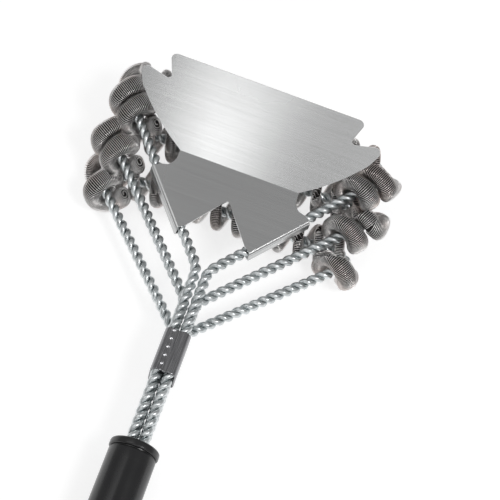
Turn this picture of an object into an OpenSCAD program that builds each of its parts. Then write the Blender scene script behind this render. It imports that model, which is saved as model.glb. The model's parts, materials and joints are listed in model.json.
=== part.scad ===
// Bristle-free grill brush: three nested wire-rope frames carry coiled scouring tubes,
// a bent sheet scraper is rolled onto the upper frame, and a long moulded handle
// ends in a hanging loop that swings. All lengths are in millimetres.
// The brush is drawn along Y, head towards +Y, scraper up, then tipped so that
// the handle and the lowest coil both stand on z = 0.

/* [Handle] */
// outside diameter of the glossy front sleeve
sleeve_d = 24.4; // [20:0.2:30]
// outside diameter of the bead at the front of the handle
collar_d = 25.6; // [21:0.2:32]
// length of the front bead
collar_len = 4.4; // [3:0.2:8]
// distance from the front of the handle to the sleeve's far end
sleeve_len = 75; // [50:1:100]
// narrowest diameter of the grip, just behind the sleeve
waist_d = 22.6; // [18:0.2:30]
// widest diameter of the grip
grip_d = 31; // [26:0.5:38]
// distance from the front of the handle to the widest part of the grip
grip_peak = 148; // [120:1:170]
// length of the whole handle
handle_len = 234; // [200:1:260]
// diameter of the hanging hole through the handle's tip
hang_hole_d = 10; // [6:0.5:12]
// distance from the handle's tip to the hole and to the loop's pivot
tip_to_pivot = 16; // [14:0.5:24]

/* [Hanging loop] */
// diameter of the loop's wire
loop_wire_d = 2; // [1.5:0.1:3]
// distance between the centres of the loop's two legs
loop_w = 27; // [26:0.5:34]
// reach of the loop beyond its pivot, to the outside of the wire
loop_reach = 46; // [36:1:60]
// depth of each inturned end below the surface of the handle
loop_pin_depth = 3.4; // [2:0.1:4]

/* [Ropes] */
// diameter of the circle on which the two strands of a rope twist
strand_pitch_d = 3.1; // [2.4:0.1:4]
// diameter of one strand
strand_d = 2.5; // [2:0.1:3]
// length of one full twist
lay = 10.6; // [8:0.1:14]
// distance between neighbouring ropes in the bundle
rope_pitch = 6.1; // [5.8:0.1:7]
// length of rope held inside the handle
rope_tail = 18; // [15:1:40]
// bend radius where a leg leaves the bundle
branch_r = 12; // [8:1:20]
// bend radius at the corners of a frame
corner_r = 5; // [4:0.5:8]

/* [Frames] */
// distance from the handle to where the upper frame's legs leave the bundle
upper_branch = 101; // [95:1:110]
// distance from the handle to where the middle frame's legs leave the bundle
middle_branch = 84; // [78:1:92]
// distance from the handle to where the lower frame's legs leave the bundle
lower_branch = 68; // [64:1:75]
// distance from the handle to the row at the end of the upper frame
upper_row = 198; // [192:0.5:202]
// distance from the handle to the row at the end of the middle frame
middle_row = 174; // [172:0.5:177]
// distance from the handle to the row at the end of the lower frame
lower_row = 148.7; // [145:0.1:150]
// angle of the upper frame's legs from the handle's axis
upper_spread = 38.6; // [35:0.1:42]
// angle of the middle frame's legs from the handle's axis
middle_spread = 41.2; // [37:0.1:44]
// angle of the lower frame's legs from the handle's axis
lower_spread = 43; // [39:0.1:46]
// drop of the middle row below its rope in the bundle
middle_drop = 3.5; // [0:0.1:8]
// drop of the lower row below its rope in the bundle
lower_drop = 6.7; // [0:0.1:12]

/* [Coils] */
// outside diameter of a coil
coil_d = 23; // [20:0.5:28]
// radial depth of the flattened tube
tube_depth = 8; // [6:0.1:9]
// width of the flattened tube along the row
tube_w = 5.8; // [4:0.1:7]
// how much wider the tube spreads on the legs
leg_spread = 1.9; // [1:0.05:2]
// how much further from the rope the tube stands on the legs
leg_bulge = 1; // [0:0.1:1.5]
// distance between turns, rounded so that both ends of a coil match
coil_pitch = 12.4; // [11:0.1:14]
// distance before the corner bend where the upper coil crosses over its rope
upper_lead = 15.3; // [12:0.1:17]
// distance before the corner bend where the middle coil crosses over its rope
middle_lead = 13.3; // [10:0.1:15]
// distance before the corner bend where the lower coil crosses over its rope
lower_lead = 4; // [3:0.1:8]
// part of a turn that a coil runs on past that crossing on the right
right_end = 0.45; // [0.4:0.05:0.8]
// part of a turn that a coil runs on past that crossing on the left
left_end = 0.8; // [0.4:0.05:0.9]

/* [Ferrule] */
// distance from the handle to the ferrule
ferrule_start = 38.5; // [30:0.5:45]
// length of the ferrule
ferrule_len = 24; // [18:0.5:30]
// sheet thickness of the ferrule
ferrule_wall = 0.8; // [0.5:0.1:1.5]

/* [Scraper] */
// thickness of the scraper's sheet
sheet = 1; // [0.6:0.1:1.5]
// distance from the handle to the fold
fold_y = 162.5; // [155:0.5:168]
// half length of the fold
fold_half = 34.3; // [30:0.1:40]
// angle of the blade above the mounting plate
blade_tilt = 45; // [30:1:60]
// length of the blade from the fold to its straight edge
blade_len = 49.4; // [40:0.2:56]
// half length of the straight edge
edge_half = 54.4; // [48:0.2:58]
// half width across the hooked ears
ear_half = 67.8; // [60:0.2:72]
// distance from the handle to the lower tips of the mounting plate
plate_tip_y = 119.4; // [116:0.2:124]
// distance from the handle to the top of the plate's cut-out
cutout_y = 142.4; // [136:0.2:148]

/* [Hidden] */
$fn = 64;

// Frames are numbered 0 upper, 1 middle, 2 lower.
branch_y = [upper_branch, middle_branch, lower_branch];
row_y = [upper_row, middle_row, lower_row];
spread = [upper_spread, middle_spread, lower_spread];
stem_z = [rope_pitch, 0, -rope_pitch];
row_z = [rope_pitch, -middle_drop, -rope_pitch - lower_drop];
lead = [upper_lead, middle_lead, lower_lead];
stem_x = rope_pitch / 2;
rope_r = (strand_pitch_d + strand_d) / 2;
rope_way = rope_r + 0.25;

core_r = 8.5;
plug_r = 10.2;
plug_len = 24;
pivot_y = tip_to_pivot - handle_len;
loop_x = loop_w / 2;
loop_r = loop_wire_d / 2;
mid_r = (coil_d - tube_depth) / 2;
plate_z = stem_z[0] + rope_r + 0.5;
roll_in = rope_r + 0.4;

// Half width of the grip against distance from the handle's front.
grip_profile = [
    [sleeve_len, sleeve_d / 2 - 0.9], [sleeve_len + 3, sleeve_d / 2 - 0.5],
    [sleeve_len + 9, waist_d / 2 + 0.1], [sleeve_len + 15, waist_d / 2],
    [sleeve_len + 24, waist_d / 2 + 0.6], [sleeve_len + 36, grip_d / 2 - 2.4],
    [grip_peak - 24, grip_d / 2 - 1], [grip_peak - 12, grip_d / 2 - 0.2],
    [grip_peak, grip_d / 2], [grip_peak + 14, grip_d / 2 - 0.3],
    [grip_peak + 30, grip_d / 2 - 1.3], [grip_peak + 46, grip_d / 2 - 2.5],
    [-pivot_y - 12, grip_d / 2 - 3.3], [-pivot_y - 4, grip_d / 2 - 3.7]];

// The resting pose: the lowest coil and the widest part of the grip touch the ground.
rest_tilt = atan2(-grip_d / 2 - (row_z[2] - coil_d / 2), row_y[2] + grip_peak);
rest_lift = max([for (p = grip_profile) p[0] * sin(rest_tilt) + p[1] * cos(rest_tilt)]);
rest_slide = (loop_reach - pivot_y - upper_row - coil_d / 2) / 2;
rest_side = -3;

module at_rest() {
    translate([rest_side, rest_slide, rest_lift]) rotate([rest_tilt, 0, 0]) children();
}

// Turns a profile given as radius against distance from the handle's front.
module turned() {
    rotate([90, 0, 0]) rotate_extrude() children();
}

module mirrored() {
    children();
    mirror([1, 0, 0]) children();
}

// ---------------------------------------------------------------- frame centrelines

function leg_len(f) = (row_y[f] - branch_y[f]) / cos(spread[f]);
function bend_trim(f) = corner_r * tan((90 + spread[f]) / 2);
function branch_trim(f) = branch_r * tan(spread[f] / 2);
function stem_len(f) = rope_tail + branch_y[f] - branch_trim(f);
function branch_arc(f) = branch_r * spread[f] * PI / 180;
function leg_straight(f) = leg_len(f) - branch_trim(f) - bend_trim(f);
function corner_arc(f) = corner_r * (90 + spread[f]) * PI / 180;
function corner_x(f) = stem_x + (row_y[f] - branch_y[f]) * tan(spread[f]);
function row_half(f) = corner_x(f) - bend_trim(f);
function bend_start(f) = stem_len(f) + branch_arc(f) + leg_straight(f);
function half_len(f) = bend_start(f) + corner_arc(f) + row_half(f);

// Height of a frame at a distance y along the handle's axis.
function frame_z(f, y) =
    let (t = (y - branch_y[f]) / (row_y[f] - branch_y[f]))
    stem_z[f] + (row_z[f] - stem_z[f]) * max(0, min(1, t));

// [x, y, heading] on the right half of a frame at length s from the rope's end.
function right_half(f, s) =
    let (a = spread[f], s1 = s - stem_len(f), s2 = s1 - branch_arc(f),
         s3 = s2 - leg_straight(f), s4 = s3 - corner_arc(f),
         y1 = stem_len(f) - rope_tail)
    s1 < 0 ? [stem_x, s - rope_tail, 0] :
    s2 < 0 ? let (b = s1 / branch_r * 180 / PI)
             [stem_x + branch_r * (1 - cos(b)), y1 + branch_r * sin(b), b] :
    let (px = stem_x + branch_r * (1 - cos(a)), py = y1 + branch_r * sin(a))
    s3 < 0 ? [px + s2 * sin(a), py + s2 * cos(a), a] :
    let (cx = px + leg_straight(f) * sin(a) - corner_r * cos(a),
         cy = py + leg_straight(f) * cos(a) + corner_r * sin(a))
    s4 < 0 ? let (h = a - s3 / corner_r * 180 / PI)
             [cx + corner_r * cos(h), cy - corner_r * sin(h), h] :
    [cx - s4, cy + corner_r, -90];

// [point, forward, inward] anywhere on a frame, right half first, then the left half.
function on_frame(f, s) =
    let (left = s > half_len(f), q = right_half(f, left ? 2 * half_len(f) - s : s),
         t = [sin(q[2]), (left ? -1 : 1) * cos(q[2]), 0])
    [[left ? -q[0] : q[0], q[1], frame_z(f, q[1])], t, [-t[1], t[0], 0]];

// ---------------------------------------------------------------- ropes

strand_sides = 5;
rings_per_lay = 5;

function strand_ring(f, s, phase) =
    let (c = on_frame(f, s), a = 360 * s / lay + phase,
         out = cos(a) * c[2] + [0, 0, sin(a)],
         across = cos(a) * [0, 0, 1] - sin(a) * c[2],
         run = c[1] + PI * strand_pitch_d / lay * across,
         w = cross(run, out) / norm(run))
    [for (i = [0 : strand_sides - 1])
        let (b = 360 * i / strand_sides)
        c[0] + strand_pitch_d / 2 * out + strand_d / 2 * (cos(b) * out + sin(b) * w)];

// One wire of a frame's rope, from one end in the handle round to the other.
module strand(f, phase) {
    n = strand_sides;
    rings = round(2 * half_len(f) / lay * rings_per_lay);
    points = [for (k = [0 : rings]) each strand_ring(f, 2 * half_len(f) * k / rings, phase)];
    sides = [for (k = [0 : rings - 1], i = [0 : n - 1])
        let (a = k * n + i, b = k * n + (i + 1) % n) each [[a, a + n, b], [b, a + n, b + n]]];
    polyhedron(points, concat([[for (i = [0 : n - 1]) i]], sides,
        [[for (i = [n - 1 : -1 : 0]) rings * n + i]]));
}

// A rod a little fatter than the rope, for clearing its way through other pieces.
module rope_envelope(f, from, to, steps = 1) {
    for (i = [0 : steps - 1])
        hull() for (k = [i, i + 1]) {
            c = on_frame(f, from + (to - from) * k / steps);
            translate(c[0]) rotate([90, 0, atan2(c[1][1], c[1][0]) - 90])
                cylinder(r = rope_way / cos(22.5), h = 0.1, center = true, $fn = 8);
        }
}

// ---------------------------------------------------------------- coils

slices_per_turn = 6;
section_sides = 5;

// The turns stand further apart round a corner: this length runs slower there.
corner_rate = 0.6;
function wound_half(f) = half_len(f) - (1 - corner_rate) * corner_arc(f);
function wound(f, s) = let (q = min(s, 2 * half_len(f) - s),
    w = q - (1 - corner_rate) * max(0, min(corner_arc(f), q - bend_start(f))))
    s < half_len(f) ? w : 2 * wound_half(f) - w;

// Length at which a coil first crosses over its rope, and its whole number of turns from
// there to the same crossing on the left leg.
function crossing(f) = bend_start(f) - lead[f];
function turns(f) = round(2 * (wound_half(f) - crossing(f)) / coil_pitch);
function pitch(f) = 2 * (wound_half(f) - crossing(f)) / turns(f);
function coil_start(f) = crossing(f) - right_end * pitch(f);
function coil_finish(f) = 2 * half_len(f) - crossing(f) + left_end * pitch(f);

// 0 on the row, 1 on the legs.
function on_leg(f, s) = max(0, min(1, (abs(half_len(f) - s) - row_half(f)) / corner_arc(f)));

// The tube's width against its width on the row: spread on the legs, fanned out on the
// outside of the corner bend and pinched on the inside.
function spread_at(f, s, a) = let (t = on_leg(f, s))
    (1 + (leg_spread - 1) * t) * (t == 0 || t == 1 ? 1 : max(0.75, min(1.4, 1 - 0.5 * cos(a))));

// Height midway between a frame and the one below it.
function seam(f, y) = (frame_z(f, y) + frame_z(f + 1, y)) / 2;

// Distance, seen from above, from a frame's nearer straight leg.
function leg_gap(f, x, y) =
    abs((abs(x) - corner_x(f)) * cos(spread[f]) - (y - row_y[f]) * sin(spread[f]));

// Lowest and highest level a coil may reach: it is pressed flat where a coil or a leg of
// the next frame lies across it, and the lowest coil on the table.
function lowest(f, y) = f == 2 ? -(rest_lift + y * sin(rest_tilt)) / cos(rest_tilt) :
    seam(f, y) + 0.2 - 4.4 * max(0, y - row_y[f + 1] - 10);
function highest(f, x, y) = f == 0 ? 99 :
    let (u = f - 1, away = leg_gap(u, x, y), tail_y = on_frame(u, coil_finish(u))[0][1] - 8)
    min(frame_z(u, y) - rope_way - 0.1 + 1.6 * max(0, away - 3.2),
        y < tail_y ? 99 : seam(u, y) - 0.2 + 4.4 * max(0, away - 10.4));

// One cross-section of the flattened tube, grown all round by a margin.
function tube_ring(f, s, grow) =
    let (c = on_frame(f, s), a = 360 * (wound(f, s) - crossing(f)) / pitch(f) + 90,
         out = cos(a) * c[2] + [0, 0, sin(a)], r = mid_r + leg_bulge * on_leg(f, s),
         half_d = tube_depth / 2 + grow,
         half_w = tube_w / 2 * spread_at(f, s, a) + grow)
    [for (i = [0 : section_sides - 1])
        let (b = 360 * i / section_sides,
             p = c[0] + (r + half_d * cos(b)) * out + half_w * sin(b) * c[1],
             top = highest(f, p[0], p[1]) + grow, bottom = lowest(f, p[1]) - grow)
        [p[0], p[1], max(bottom, min(top, p[2]))]];

function slices(f) = round((coil_finish(f) - coil_start(f)) / pitch(f) * slices_per_turn);

// A stretch of the tube, counted in slices from its right end.
module tube(f, first, last, grow = 0) {
    from = coil_start(f);
    step = (coil_finish(f) - from) / slices(f);
    m = section_sides;
    for (i = [first : last - 1]) hull()
        polyhedron(concat(tube_ring(f, from + step * i, grow), tube_ring(f, from + step * (i + 1), grow)),
                   [[for (k = [0 : m - 1]) k], [for (k = [2 * m - 1 : -1 : m]) k]]);
}

// The coil wound round a frame's row, over both corners and some way down the legs. It
// makes room for the ropes and for the ends of the coil above.
module coil(f) {
    end = 3 * slices_per_turn;
    difference() {
        tube(f, 0, slices(f));
        for (side = [0, 1]) mirror([side, 0, 0]) {
            rope_envelope(f, crossing(f) - pitch(f) - 6, bend_start(f));
            rope_envelope(f, bend_start(f), bend_start(f) + corner_arc(f), 8);
            rope_envelope(f, bend_start(f) + corner_arc(f), bend_start(f) + corner_arc(f) + 12);
            if (f > 0) rope_envelope(f - 1, bend_start(f - 1) - 66, bend_start(f - 1) - 2);
        }
        if (f > 0) {
            tube(f - 1, 0, end, 0.15);
            tube(f - 1, slices(f - 1) - end, slices(f - 1), 0.15);
        }
    }
}

// ---------------------------------------------------------------- handle

module front_collar() {
    color("#151515") turned() difference() {
        union() {
            translate([plug_r + 0.02, 1.2]) square([collar_d / 2 - plug_r - 0.02, collar_len - 1.8]);
            translate([plug_r + 0.02, 0]) square([collar_d / 2 - plug_r - 1.22, 1.2]);
            translate([collar_d / 2 - 1.2, 1.2]) circle(r = 1.2);
            translate([plug_r + 0.02, collar_len - 0.6])
                square([sleeve_d / 2 - plug_r - 0.82, 0.6]);
        }
        translate([0, -5]) square([plug_r + 0.02, 20]);
    }
}

module front_sleeve() {
    color("#1a1a1c") turned() difference() {
        polygon([[core_r, collar_len], [sleeve_d / 2 - 0.5, collar_len],
                 [sleeve_d / 2, collar_len + 0.6], [sleeve_d / 2 + 0.2, sleeve_len - 4],
                 [sleeve_d / 2 - 0.4, sleeve_len], [core_r, sleeve_len]]);
        square([plug_r + 0.02, plug_len]);
    }
}

tip_r = 8;

module handle_grip() {
    tip_half = grip_d / 2 - 3.7;
    color("#19191a") difference() {
        turned() {
            polygon(concat([for (p = grip_profile) [p[1], p[0]]],
                [for (b = [0 : 15 : 90])
                    [tip_half - tip_r + tip_r * cos(b), handle_len - tip_r + tip_r * sin(b)]],
                [[0, handle_len], [0, sleeve_len]]));
        }
        turned() translate([0, sleeve_len - 1]) square([core_r, 200 - sleeve_len + 1]);
        translate([0, pivot_y, -20]) cylinder(d = hang_hole_d, h = 40);
        mirrored() translate([loop_x - 5, pivot_y, 0]) rotate([0, 90, 0])
            cylinder(r = loop_r + 0.05, h = 8);
    }
}

module handle_core() {
    color("#2a2a2c") turned() translate([0, plug_len]) square([core_r, 200 - plug_len]);
}

// The six rope ends stand in this plug, in two columns of three.
module rope_plug() {
    color("#202022") difference() {
        turned() translate([0, 1]) square([plug_r, plug_len - 1]);
        for (z = stem_z, side = [-1, 1]) translate([side * stem_x, 1, z]) rotate([90, 0, 0])
            cylinder(r = rope_r + 0.05, h = rope_tail + 1);
    }
}

// ---------------------------------------------------------------- hanging loop

loop_bend = 1.5;
loop_arc_y = pivot_y - loop_reach + loop_r + loop_x;

module hanging_loop() {
    pin_in = grip_d / 2 - 3.5 - loop_pin_depth;
    color("#b9bcc0") {
        translate([0, loop_arc_y, 0]) rotate([0, 0, 180])
            rotate_extrude(angle = 180) translate([loop_x, 0]) circle(r = loop_r);
        mirrored() {
            translate([loop_x, pivot_y - loop_bend, 0]) rotate([90, 0, 0])
                cylinder(r = loop_r, h = pivot_y - loop_bend - loop_arc_y);
            translate([loop_x - loop_bend, pivot_y - loop_bend, 0])
                rotate_extrude(angle = 90) translate([loop_bend, 0]) circle(r = loop_r);
            translate([pin_in, pivot_y, 0]) rotate([0, 90, 0])
                cylinder(r = loop_r, h = loop_x - loop_bend - pin_in);
        }
    }
}

// ---------------------------------------------------------------- ferrule

// Two touching columns, each rounded at the top and bottom.
module bundle_section(r) {
    for (side = [-1, 1]) translate([side * stem_x, 0]) {
        square([2 * r, 2 * rope_pitch], center = true);
        for (z = [-1, 1]) translate([0, z * rope_pitch]) circle(r = r);
    }
}

module ferrule() {
    ferrule_r = rope_r + 0.25 + ferrule_wall;
    dimples = 5;
    color("#7c7f82") difference() {
        translate([0, ferrule_start + ferrule_len, 0]) rotate([90, 0, 0])
            linear_extrude(ferrule_len) bundle_section(ferrule_r);
        translate([0, ferrule_start + ferrule_len + 1, 0]) rotate([90, 0, 0])
            linear_extrude(ferrule_len + 2) bundle_section(rope_r + 0.25);
        for (i = [0 : dimples - 1])
            translate([-stem_x, ferrule_start + (i + 0.5) * ferrule_len / dimples,
                       rope_pitch + ferrule_r + 0.5])
                sphere(r = 0.9);
    }
}

// ---------------------------------------------------------------- scraper

// Right half of the blade outline: x against distance from the fold.
function bulge(a, b, depth, n) = [for (i = [0 : n])
    let (t = i / n, out = [b[1] - a[1], a[0] - b[0]] / norm(b - a))
    a + (b - a) * t + out * depth * 4 * t * (1 - t)];
function arc(c, r, from, to, n) = [for (i = [0 : n])
    let (b = from + (to - from) * i / n) c + r * [cos(b), sin(b)]];

blade_right = concat(
    bulge([fold_half, 0], [ear_half - 1.6, 30], 2, 12),
    arc([ear_half - 3.2, 35], 3.2, -10, 100, 8),
    arc([edge_half - 1.1, 37.6], 2, -75, -180, 8),
    arc([edge_half - 1.6, blade_len - 1.6], 1.6, 0, 90, 6));

module blade_outline() {
    polygon(concat(blade_right,
        [for (i = [len(blade_right) - 1 : -1 : 0]) [-blade_right[i][0], blade_right[i][1]]]));
}

function leg_x(y) = stem_x + (y - upper_branch) * tan(upper_spread);
function plate_x(y) = leg_x(y) + 0.3;

relief_r = 8.8;
relief = [fold_half + 8.3, fold_y - 2.5];
roll_end_y = 150;

module plate_outline() {
    tip_x = plate_x(plate_tip_y);
    top_x = plate_x(roll_end_y);
    difference() {
        polygon([[-tip_x, plate_tip_y], [-tip_x + 1.5, plate_tip_y], [-1.8, cutout_y - 1.6],
                 [0, cutout_y], [1.8, cutout_y - 1.6], [tip_x - 1.5, plate_tip_y],
                 [tip_x, plate_tip_y], [top_x, roll_end_y], [top_x, fold_y + 0.35],
                 [-top_x, fold_y + 0.35], [-top_x, roll_end_y]]);
        mirrored() translate(relief) circle(r = relief_r);
        mirrored() translate([fold_half - 0.3, fold_y - 6]) square([20, 12]);
    }
}

// The plate's edge rolled most of the way round one leg of the upper frame.
module rolled_edge() {
    length = (roll_end_y - plate_tip_y) / cos(upper_spread);
    translate([leg_x(plate_tip_y), plate_tip_y, stem_z[0]]) rotate([0, 0, -upper_spread])
        rotate([-90, 0, 0]) rotate([0, 0, -90]) linear_extrude(length) difference() {
            circle(r = roll_in + sheet);
            circle(r = roll_in);
            rotate(-30) translate([-10, -20]) square([20, 20]);
            translate([-10, -20]) square([20, 20]);
        }
}

module scraper() {
    color("#c9cbcd") {
        translate([0, 0, plate_z]) linear_extrude(sheet) plate_outline();
        translate([0, fold_y, plate_z]) rotate([blade_tilt, 0, 0])
            linear_extrude(sheet) blade_outline();
        mirrored() rolled_edge();
    }
}

at_rest() front_collar();
at_rest() front_sleeve();
at_rest() handle_grip();
at_rest() handle_core();
at_rest() rope_plug();
at_rest() hanging_loop();
at_rest() ferrule();
at_rest() scraper();
at_rest() color("#b4babd") strand(0, 0);  // upper_frame_strand_a
at_rest() color("#a9b0b4") strand(0, 180);  // upper_frame_strand_b
at_rest() color("#b4babd") strand(1, 0);  // middle_frame_strand_a
at_rest() color("#a9b0b4") strand(1, 180);  // middle_frame_strand_b
at_rest() color("#b4babd") strand(2, 0);  // lower_frame_strand_a
at_rest() color("#a9b0b4") strand(2, 180);  // lower_frame_strand_b
at_rest() color("#6d6a69") coil(0);  // upper_coil
at_rest() color("#66615f") coil(1);  // middle_coil
at_rest() color("#6d6a69") coil(2);  // lower_coil
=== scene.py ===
"""Looks of the bristle-free grill brush: twisted wire frames, wound wire coils, a bent steel
scraper, a crimped ferrule, a moulded handle and its hanging loop.

Shapes are drawn in millimetres on the brush's own axes: x across, y forward from the front of
the handle, z up from the handle's axis. rest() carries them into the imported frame, in metres.
"""

import json
import math

import bmesh
import bpy
import numpy as np
from mathutils import Matrix, Vector
from mathutils.geometry import delaunay_2d_cdt


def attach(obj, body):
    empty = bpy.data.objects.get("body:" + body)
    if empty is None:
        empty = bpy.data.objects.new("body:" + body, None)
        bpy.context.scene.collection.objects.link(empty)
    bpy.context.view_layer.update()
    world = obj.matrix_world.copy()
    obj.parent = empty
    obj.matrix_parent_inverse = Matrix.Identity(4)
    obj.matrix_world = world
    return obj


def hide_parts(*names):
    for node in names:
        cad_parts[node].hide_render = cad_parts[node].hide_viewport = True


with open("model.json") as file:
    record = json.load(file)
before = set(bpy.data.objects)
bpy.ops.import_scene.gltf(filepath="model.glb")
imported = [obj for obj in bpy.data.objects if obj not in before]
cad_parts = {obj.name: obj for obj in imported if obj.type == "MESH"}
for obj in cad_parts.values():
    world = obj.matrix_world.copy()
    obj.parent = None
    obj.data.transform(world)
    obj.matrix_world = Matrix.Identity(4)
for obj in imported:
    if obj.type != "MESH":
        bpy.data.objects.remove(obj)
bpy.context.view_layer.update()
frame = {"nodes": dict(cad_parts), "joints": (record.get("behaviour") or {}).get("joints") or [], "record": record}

MM = 0.001
BRUSH = "brush"
LOOP = "loop"

# ------------------------------------------------------------------ sizes, in millimetres

# Handle, measured back from its front rim.
COLLAR_R = 12.8
COLLAR_LEN = 4.4
SLEEVE_R = 12.2
SLEEVE_LEN = 75.0
PLUG_R = 10.22
PLUG_LEN = 24.0
CORE_R = 8.5
CORE_END = 200.0
HANDLE_LEN = 234.0
HOLE_R = 5.0
PIVOT_Y = -218.0
GRIP_TIP_R = 8.0
GRIP_PROFILE = [
    (78, 11.7), (84, 11.4), (90, 11.3), (99, 11.9), (111, 13.1), (124, 14.5), (136, 15.3),
    (148, 15.5), (162, 15.2), (178, 14.2), (194, 13.0), (206, 12.2), (214, 11.8), (226, 11.8),
]

# Hanging loop.
LOOP_WIRE_R = 1.0
LOOP_X = 13.5
LOOP_REACH = 46.0
LOOP_BEND = 1.5
LOOP_PIN_X = 8.6

# Ropes. Frames are numbered 0 upper, 1 middle, 2 lower.
FRAMES = ("upper", "middle", "lower")
STRAND_R = 1.5
HELIX_R = 1.5
LAY = 10.6
ROPE_PITCH = 6.1
ROPE_TAIL = 18.0
BRANCH_R = 12.0
CORNER_R = 5.0
BRANCH_Y = (101.0, 84.0, 68.0)
ROW_Y = (198.0, 174.0, 148.7)
SPREAD = tuple(math.radians(a) for a in (38.6, 41.2, 43.0))
STEM_Z = (ROPE_PITCH, 0.0, -ROPE_PITCH)
ROW_Z = (6.1, -3.5, -12.8)
STEM_X = ROPE_PITCH / 2

# Coils.
TURN_R = 7.5
TUBE_DEPTH = 8.0
TUBE_WIDTH = 5.9
LEG_SPREAD = 1.9
LEG_BULGE = 1.0
COIL_PITCH = 12.4
COIL_LEAD = (15.3, 13.3, 4.0)
CORNER_RATE = 0.6
RIGHT_END = 0.45
LEFT_END = 0.8
HOOP_PITCH = 0.78
HOOP_WIRE_R = 0.23
HOOP_SQUARENESS = 2.6
TUBE_END_TAPER = 7.0
PATH_SAMPLES = 8000

# Where a coil is pressed flat: half the gap left at a seam, how steeply its sides rise, and how far
# from a row, a rope or a leg's coil they start.
SEAM_GAP = 0.3
SEAM_SLOPE = 4.4
ROPE_SLOPE = 1.6
ROW_CLEAR = 10.0
ROPE_CLEAR = 3.2
LEG_COIL_CLEAR = 10.4
TAIL_CLEAR = 8.0

# Ferrule.
FERRULE_Y = 38.5
FERRULE_LEN = 24.0
FERRULE_R = 3.85
FERRULE_WALL = 0.8
DENTS = 5

# Scraper.
SHEET = 1.0
BLADE_CORNER_R = 3.0
EAR_CORNER_R = 3.2
HOOK_R = 2.0
FOLD_NOTCH_R = 8.6
FOLD_Y = 162.5
FOLD_HALF = 34.3
FOLD_RADIUS = 1.5
BLADE_TILT = math.radians(45)
BLADE_LEN = 49.4
EDGE_HALF = 54.4
EAR_HALF = 67.8
PLATE_TIP_Y = 119.4
CUTOUT_Y = 142.4
PLATE_MID_Z = 9.9
ROLL_END_Y = 150.0
ROLL_FLAT = 2.3
ROLL_BEND_R = 1.5

# ------------------------------------------------------------------ from the brush's axes to the frame

pivot = Vector(frame["joints"][0]["pos_m"])
hole_axis = frame["record"]["mounts"][0]["axis"]
TILT = math.atan2(-hole_axis[1], hole_axis[2])


def rest(points):
    """Points in millimetres on the brush's axes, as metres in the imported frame."""
    p = np.asarray(points, float) * MM
    y = p[:, 1] - PIVOT_Y * MM
    turned_y = y * math.cos(TILT) - p[:, 2] * math.sin(TILT) + pivot.y
    turned_z = y * math.sin(TILT) + p[:, 2] * math.cos(TILT) + pivot.z
    return np.column_stack([p[:, 0] + pivot.x, turned_y, turned_z])


# ------------------------------------------------------------------ meshes


def unit(v):
    """Rows of v at length one."""
    return v / np.linalg.norm(v, axis=-1, keepdims=True)


def grid_faces(rings, sides, loop=False):
    """Quads between rings of vertices; loop joins the last ring to the first."""
    k = np.arange(rings if loop else rings - 1)[:, None]
    j = np.arange(sides)[None, :]
    nxt = (k + 1) % rings
    turn = (j + 1) % sides
    quads = np.stack([k * sides + j, k * sides + turn, nxt * sides + turn, nxt * sides + j], -1)
    return quads.reshape(-1, 4).tolist()


def tube(centres, up, across, half_up, half_across, sides):
    """Vertices and faces of a capped tube with an elliptical section."""
    turn = np.arange(sides) * 2 * math.pi / sides
    rings = (
        centres[:, None]
        + (half_up[:, None] * np.cos(turn))[..., None] * up[:, None]
        + (half_across[:, None] * np.sin(turn))[..., None] * across[:, None]
    )
    n = len(centres)
    caps = [list(range(sides - 1, -1, -1)), list(range((n - 1) * sides, n * sides))]
    return rings.reshape(-1, 3), grid_faces(n, sides) + caps


def lathe(profile, sides=128):
    """A solid turned round the handle's axis from (y, radius) pairs going backwards in y on the outside.
    Points on the axis become poles; otherwise the profile closes on itself."""
    turn = np.arange(sides) * 2 * math.pi / sides
    points, starts = [], []
    for y, r in profile:
        starts.append(len(points))
        if r < 1e-6:
            points.append((0, y, 0))
        else:
            points += [(r * math.cos(a), y, r * math.sin(a)) for a in turn]
    faces = []
    poles = profile[0][1] < 1e-6
    for k in range(len(profile) - 1 if poles else len(profile)):
        here, there = k, (k + 1) % len(profile)
        a, b = starts[here], starts[there]
        for j in range(sides):
            t = (j + 1) % sides
            if profile[here][1] < 1e-6:
                faces.append([a, b + j, b + t])
            elif profile[there][1] < 1e-6:
                faces.append([a + t, a + j, b])
            else:
                faces.append([a + t, a + j, b + j, b + t])
    return np.array(points, float), faces


def piece(name, points, faces, material, body=BRUSH, stands_for=(), crease=35):
    """A smooth mesh object in the frame that rides on a body and stands for CAD nodes."""
    mesh = bpy.data.meshes.new(name)
    mesh.from_pydata(rest(points).tolist(), [], faces)
    mesh.validate()
    mesh.materials.append(material)
    obj = bpy.data.objects.new(name, mesh)
    bpy.context.scene.collection.objects.link(obj)
    finish_mesh(obj, crease)
    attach(obj, body)
    if stands_for:
        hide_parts(*stands_for)
    return obj


def finish_mesh(obj, crease):
    """Faces point outwards and shade smooth, with edges sharper than crease degrees kept."""
    bm = bmesh.new()
    bm.from_mesh(obj.data)
    bmesh.ops.recalc_face_normals(bm, faces=bm.faces)
    bm.to_mesh(obj.data)
    bm.free()
    obj.data.polygons.foreach_set("use_smooth", [True] * len(obj.data.polygons))
    obj.data.set_sharp_from_angle(angle=math.radians(crease))


def apply_modifiers(obj):
    """Replaces the object's mesh by what its modifiers make of it."""
    bpy.context.view_layer.update()
    seen = obj.evaluated_get(bpy.context.evaluated_depsgraph_get())
    mesh = bpy.data.meshes.new_from_object(seen)
    obj.modifiers.clear()
    obj.data = mesh


def arc_points(centre, radius, start, end, steps):
    """(y, r) pairs along an arc; angles in degrees, 0 towards +y and 90 outwards."""
    return [
        (
            centre[0] + radius * math.cos(math.radians(start + (end - start) * i / steps)),
            centre[1] + radius * math.sin(math.radians(start + (end - start) * i / steps)),
        )
        for i in range(steps + 1)
    ]


# ------------------------------------------------------------------ centrelines of the frames


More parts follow.
